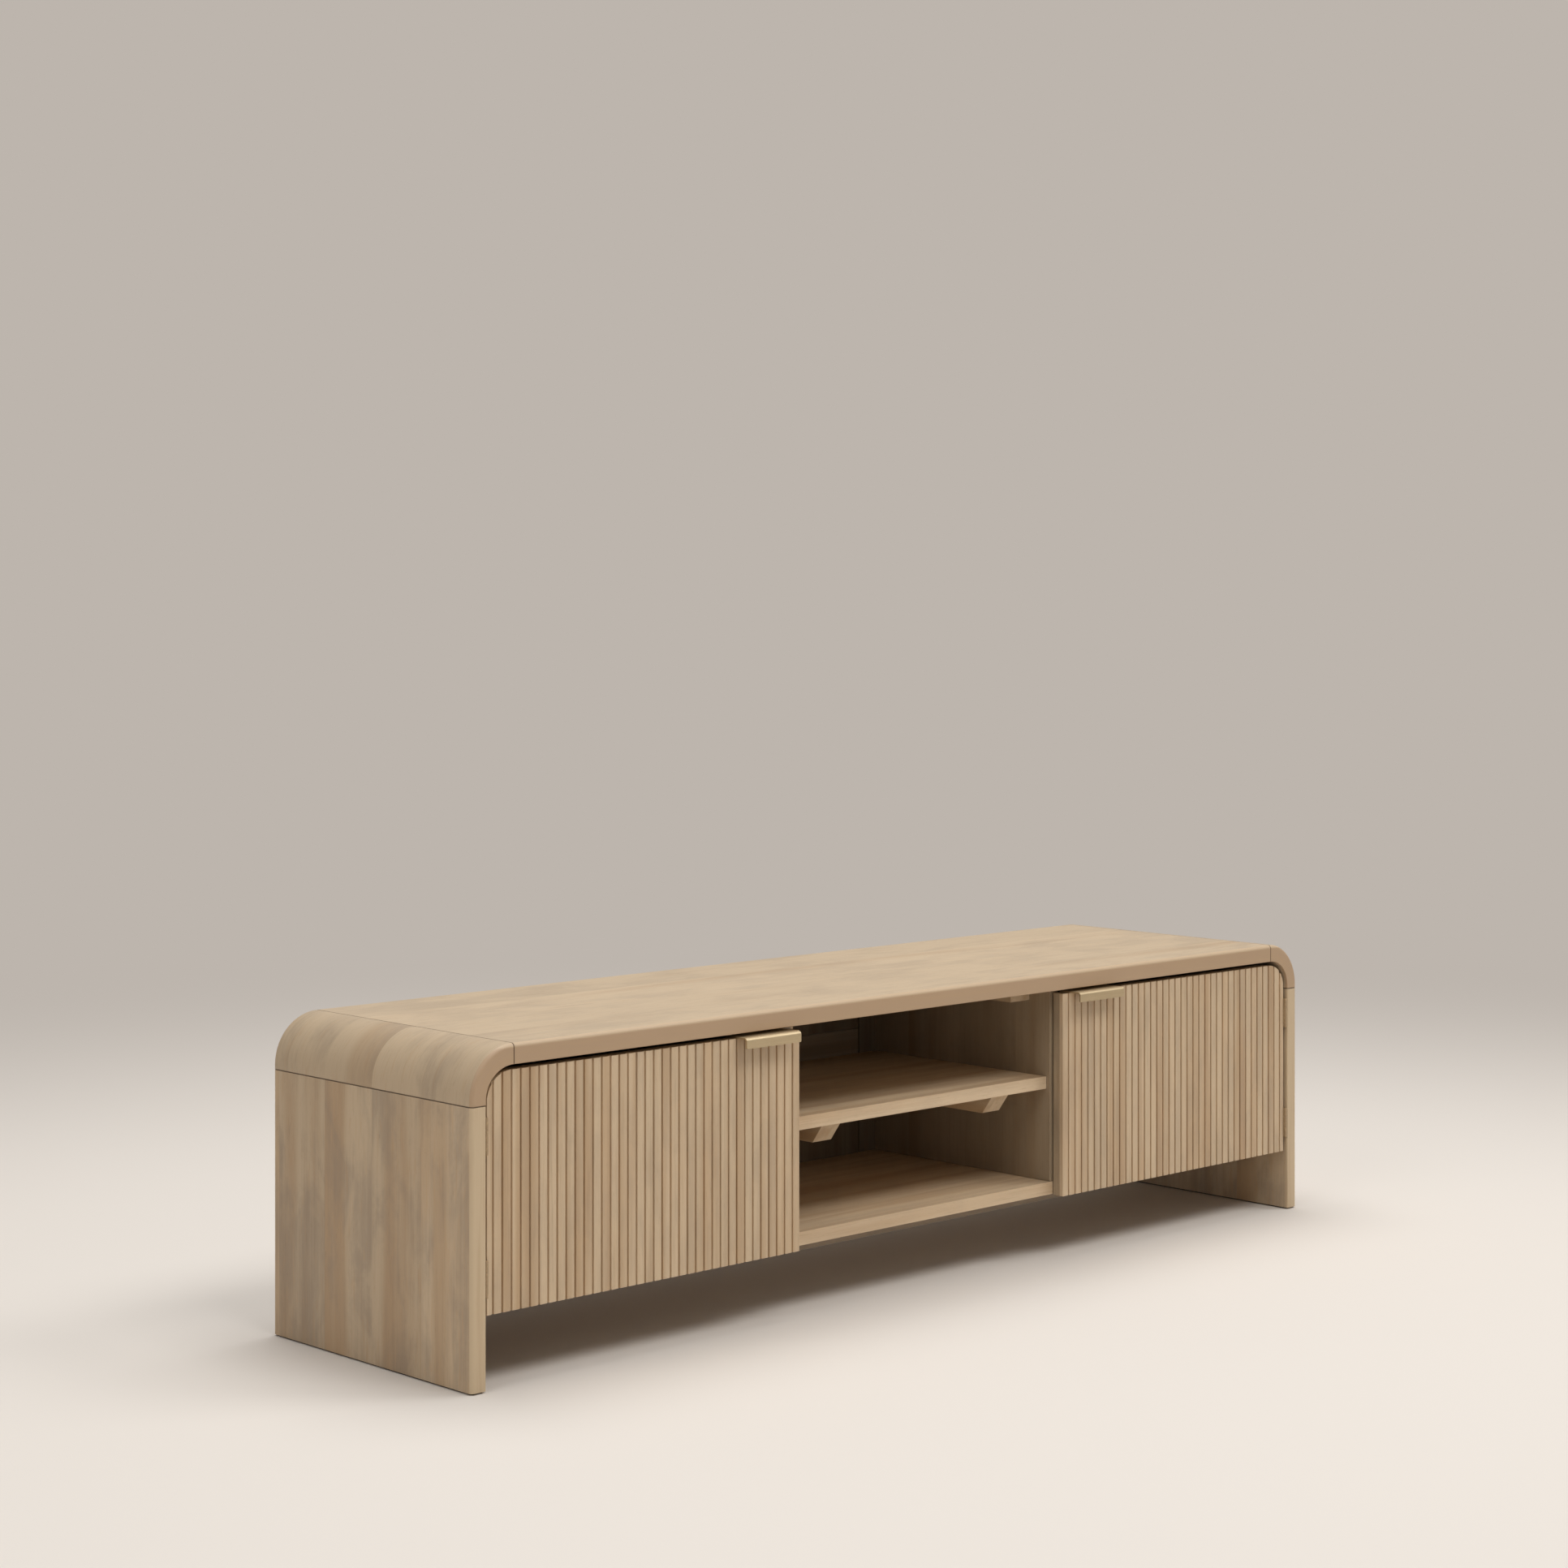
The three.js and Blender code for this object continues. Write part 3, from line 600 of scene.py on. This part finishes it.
class CABINET_OT_stage(bpy.types.Operator):
    """Set up the floor, backdrop, lamps and camera"""

    bl_idname = "cabinet.stage"
    bl_label = "Set Up Studio"

    def execute(self, context):
        studio = context.scene.cabinet_studio
        colours = context.scene.cabinet_colours
        context.scene.view_settings.view_transform = "Standard"
        self.floor(studio, colours)
        self.lamps(studio)
        camera = bpy.data.cameras.new("studio_camera")
        camera.lens = studio.lens
        camera.shift_y = studio.shift
        camera.clip_end = 100
        seat = link(bpy.data.objects.new("studio_camera", camera))
        seat.location = studio.eye
        seat.rotation_euler = (math.pi / 2, 0, -studio.heading)
        context.scene.camera = seat
        return {"FINISHED"}

    def floor(self, studio, colours):
        material, tree, shader = new_material("matt_floor_paper")
        # Painted light falloff: the lamp-lit floor near the cabinet fades, with distance from a point ahead
        # of it, into the glowing backdrop tone. That glow stands in for the floor in shade far off.
        place = add_node(tree, "ShaderNodeTexCoord", None, "Object")
        ahead = Vector((-math.sin(studio.heading), -math.cos(studio.heading), 0)) * studio.pool_ahead
        reach = add_node(tree, "ShaderNodeVectorMath", {0: place, 1: ahead}, "Value", operation="DISTANCE")
        rise = {"Value": reach, "From Min": studio.pool_near, "From Max": studio.pool_far}
        painted_falloff = add_node(tree, "ShaderNodeMapRange", rise, interpolation_type="SMOOTHSTEP")
        shader.inputs["Base Color"].default_value = opaque(colours.floor)
        shader.inputs["Roughness"].default_value = 0.9
        shader.inputs["Specular IOR Level"].default_value = 0.2
        paper = add_node(tree, "ShaderNodeEmission", {"Color": opaque(colours.backdrop)})
        mixed = {0: painted_falloff, 1: shader.outputs["BSDF"], 2: paper}
        show_instead(tree, add_node(tree, "ShaderNodeMixShader", mixed))
        bm = bmesh.new()
        bmesh.ops.create_circle(bm, cap_ends=True, radius=FLOOR_RADIUS, segments=96)
        floor = object_from(bm, "studio_floor")
        finish(floor, material)
        material, tree, shader = new_material("backdrop_paper")
        show_instead(tree, add_node(tree, "ShaderNodeEmission", {"Color": opaque(colours.backdrop)}))
        tree.nodes.remove(shader)
        bm = bmesh.new()
        bmesh.ops.create_cone(
            bm, cap_ends=False, radius1=BACKDROP_RADIUS, radius2=BACKDROP_RADIUS, depth=BACKDROP_HEIGHT,
            segments=96)
        bmesh.ops.translate(bm, verts=bm.verts, vec=(0, 0, BACKDROP_HEIGHT / 2 - 0.1))
        backdrop = object_from(bm, "studio_backdrop")
        finish(backdrop, material)
        backdrop.visible_diffuse = False
        backdrop.visible_shadow = False

    def lamps(self, studio):
        world = bpy.data.worlds.new("even_light")
        bpy.context.scene.world = world
        world.use_nodes = True
        sky = world.node_tree.nodes["Background"].inputs
        sky["Color"].default_value = (1.0, 0.97, 0.94, 1.0)
        sky["Strength"].default_value = studio.sky
        rows = (
            ("front_lamp", studio.front_power, (-0.4, -3.6, 5.4), (3.2, 2.2)),
            ("top_lamp", studio.top_power, (0.6, 0.8, 5.6), (4.0, 3.0)),
            ("left_lamp", studio.left_power, (-4.5, -0.8, 3.6), (3.0, 2.4)),
            ("right_lamp", studio.right_power, (5.0, -4.4, 7.0), (3.5, 3.0)),
        )
        for name, power, place, size in rows:
            lamp = bpy.data.lights.new(name, "AREA")
            lamp.shape = "RECTANGLE"
            lamp.size, lamp.size_y = size
            lamp.energy = power
            holder = link(bpy.data.objects.new(name, lamp))
            holder.location = place
            aim = Vector((0, 0, 0.25)) - Vector(place)
            holder.rotation_euler = aim.to_track_quat("-Z", "Y").to_euler()
            holder.visible_camera = False


class CABINET_OT_frame(bpy.types.Operator):
    """Veneer the top, the corner blocks and the sides, and fit their glides"""

    bl_idname = "cabinet.frame"
    bl_label = "Finish Waterfall Frame"

    def execute(self, context):
        sizes = context.scene.cabinet_sizes
        colours = context.scene.cabinet_colours
        top = make_top(sizes)
        finish(top, oak_veneer(
            "white_oak_top", X_GRAIN, 1, leaf=121, band=60, wash=0.3, streak=0.06, leaf_change=0.3,
            pale=0.8, depth=0.92, edge_colour=colours.top_edge_painted_shade))
        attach(top, CARCASS)
        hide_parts("top_panel")
        for number, side in enumerate(SIDES):
            block = make_corner_block(sizes, side)
            finish(block, oak_veneer(
                f"white_oak_{side}_corner", ALONG_SURFACE, 20 + number, band=130, wash=0.45, streak=0.04,
                leaf_change=0.4, pale=0.85, depth=0.86, edge_colour=colours.top_edge_painted_shade))
            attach(block, CARCASS)
            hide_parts(f"{side}_corner_block")
            panel = ease_cad_node(f"{side}_side_panel", sizes.seam_ease)
            finish(panel, oak_veneer(
                f"white_oak_{side}_panel", SIDE_GRAIN, 30 + number, band=60, wash=0.6, streak=0.14,
                leaf_change=0.8, edge_colour=colours.leg_edge_painted_light))
            glide = ease_cad_node(f"{side}_foot_strip", 0.3 * MM)
            rubber = small_part_finish(f"black_rubber_{side}_glide", colours.glide_black, 0.0, 0.7, 0.5)
            finish(glide, rubber)
        return {"FINISHED"}


class CABINET_OT_carcass(bpy.types.Operator):
    """Ease and veneer the boards between the sides, with painted light and shade in their tones"""

    bl_idname = "cabinet.carcass"
    bl_label = "Finish Carcass"

    def execute(self, context):
        sizes = context.scene.cabinet_sizes
        # Painted light and shade of the bays: the shelf boards are lightened where the light falls in from
        # the front, the dividers and the rails under and behind are darkened, and the back boards are
        # darkened most, for the shade deep inside.
        flat = oak_veneer("white_oak_shelf_board_painted_light", X_GRAIN, 41, leaf=140, wash=0.2, streak=0.2, depth=1.15)
        upright = oak_veneer(
            "white_oak_divider_board_painted_shade", SIDE_GRAIN, 42, leaf=120, band=60, wash=0.25, streak=0.15,
            depth=0.63)
        back = oak_veneer("white_oak_back_board_painted_shade", FRONT_GRAIN, 43, leaf=130, wash=0.2, depth=0.34)
        rail = oak_veneer("white_oak_rail_painted_shade", X_GRAIN_UPRIGHT, 44, leaf=90, wash=0.2, depth=0.45)
        batten = oak_veneer("white_oak_batten", DEPTH_GRAIN, 45, leaf=60, wash=0.25)
        groups = {
            flat: ["bottom_panel", "centre_shelf", *pair("side_shelf")],
            upright: pair("divider"),
            back: ["lower_back_panel", "upper_back_panel", *pair("back_panel", "back_stile")],
            rail: ["back_rail", "front_stretcher", "rear_stretcher"],
            batten: pair("shelf_batten", "top_cleat"),
        }
        for material, names in groups.items():
            for name in names:
                finish(ease_cad_node(name, sizes.board_ease), material)
        return {"FINISHED"}


class CABINET_OT_doors(bpy.types.Operator):
    """Shape the reeded facings and finish the door boards"""

    bl_idname = "cabinet.doors"
    bl_label = "Finish Doors"

    def execute(self, context):
        sizes = context.scene.cabinet_sizes
        pitch = sizes.reed_pitch / MM
        for number, side in enumerate(SIDES):
            facing = make_slat_facing(sizes, side)
            first = SIDES[side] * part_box("right_slat_facing")[0].x / MM
            material = oak_veneer(
                f"white_oak_{side}_reeds", FRONT_GRAIN, 50 + number, leaf=pitch,
                offset=SIDES[side] * FIRST_REED_SHORT * pitch - first, wash=0.3, streak=0.14,
                leaf_change=0.3, depth=1.09)
            finish(facing, material)
            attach(facing, f"{side}_door")
            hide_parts(f"{side}_slat_facing")
            board = ease_cad_node(f"{side}_door_board", 0.4 * MM)
            # Painted shade: the door board, seen mostly as the doors' edges, is darkened to three quarters
            # of the veneer's value.
            name = f"white_oak_{side}_door_board"
            finish(board, oak_veneer(name, FRONT_GRAIN, 60 + number, leaf=140, depth=0.75))
        return {"FINISHED"}


class CABINET_OT_pulls(bpy.types.Operator):
    """Fold the pulls over the doors' top edges"""

    bl_idname = "cabinet.pulls"
    bl_label = "Fold Pulls"

    def execute(self, context):
        brass = satin_brass()
        for side in SIDES:
            pull = make_pull(context.scene.cabinet_sizes, side)
            finish(pull, brass)
            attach(pull, f"{side}_door")
            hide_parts(f"{side}_pull")
        return {"FINISHED"}


class CABINET_OT_hardware(bpy.types.Operator):
    """Finish hinges, catches, pins and screws"""

    bl_idname = "cabinet.hardware"
    bl_label = "Finish Hardware"

    def execute(self, context):
        colours = context.scene.cabinet_colours
        painted = small_part_finish("oak_brown_painted_steel", colours.hinge_paint, 0.0, 0.42, 0.4)
        zinc = small_part_finish("bright_zinc_plate", colours.zinc, 1.0, 0.28, 0.3)
        plastic = small_part_finish("moulded_brown_plastic", colours.catch_brown, 0.0, 0.5, 0.6)
        leaves = [
            f"{level}_{part}"
            for level in ("lower", "upper") for part in ("door_leaf", "side_leaf", "hinge_pin")
        ]
        pins = [f"{row}_{wall}_pin" for row in ("front", "rear") for wall in ("divider", "side")]
        groups = {
            painted: (pair(*leaves), 0.15),
            zinc: (pair("inner_pull_screw", "outer_pull_screw", "strike_plate", *pins), 0.2),
            plastic: (pair("magnetic_catch"), 0.5),
        }
        for material, (names, ease) in groups.items():
            for name in names:
                finish(ease_cad_node(name, ease * MM), material)
        return {"FINISHED"}


class CABINET_PT_panel(bpy.types.Panel):
    """Sizes, colours and build steps"""

    bl_label = "Media Cabinet"
    bl_idname = "CABINET_PT_panel"
    bl_space_type = "VIEW_3D"
    bl_region_type = "UI"
    bl_category = "Cabinet"

    def draw(self, context):
        for group_name in GROUPS:
            group = getattr(context.scene, group_name)
            box = self.layout.box()
            for name in group.__annotations__:
                box.prop(group, name)
        for step in STEPS:
            self.layout.operator(step.bl_idname)


STEPS = (
    CABINET_OT_stage, CABINET_OT_frame, CABINET_OT_carcass, CABINET_OT_doors, CABINET_OT_pulls,
    CABINET_OT_hardware,
)
GROUPS = {"cabinet_sizes": CabinetSizes, "cabinet_colours": CabinetColours, "cabinet_studio": CabinetStudio}
CLASSES = (*GROUPS.values(), *STEPS, CABINET_PT_panel)


def register():
    for cls in CLASSES:
        bpy.utils.register_class(cls)
    for name, group in GROUPS.items():
        setattr(bpy.types.Scene, name, bpy.props.PointerProperty(type=group))


def unregister():
    for name in GROUPS:
        delattr(bpy.types.Scene, name)
    for cls in reversed(CLASSES):
        bpy.utils.unregister_class(cls)


def main():
    register()
    bpy.ops.cabinet.stage()
    bpy.ops.cabinet.frame()
    bpy.ops.cabinet.carcass()
    bpy.ops.cabinet.doors()
    bpy.ops.cabinet.pulls()
    bpy.ops.cabinet.hardware()


if __name__ == "__main__":
    main()
